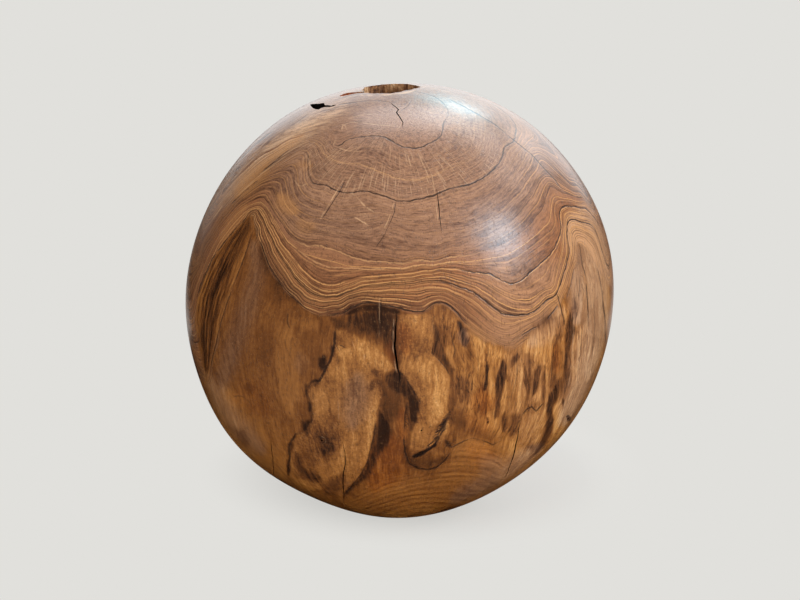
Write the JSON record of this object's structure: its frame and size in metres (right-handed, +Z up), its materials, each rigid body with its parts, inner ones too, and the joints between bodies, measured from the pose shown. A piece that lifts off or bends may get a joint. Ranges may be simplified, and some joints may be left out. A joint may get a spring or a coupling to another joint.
{
  "type": "decorative wooden ball",
  "caption": "Solid ball shaped from a single piece of root teak, slightly oval, with a natural hollow and a ragged split at the top and drying checks in its skin; a free-standing decoration.",
  "frame": {"origin": "the point where the ball touches the floor", "axes": "+Z up through the hollow, -Y to the front that the picture shows, +X to the right"},
  "size_m": [0.402, 0.4, 0.4067],
  "materials": {
    "teak": "satin wax"
  },
  "bodies": {
    "root": {"ball": "teak"}
  },
  "joints": []
}
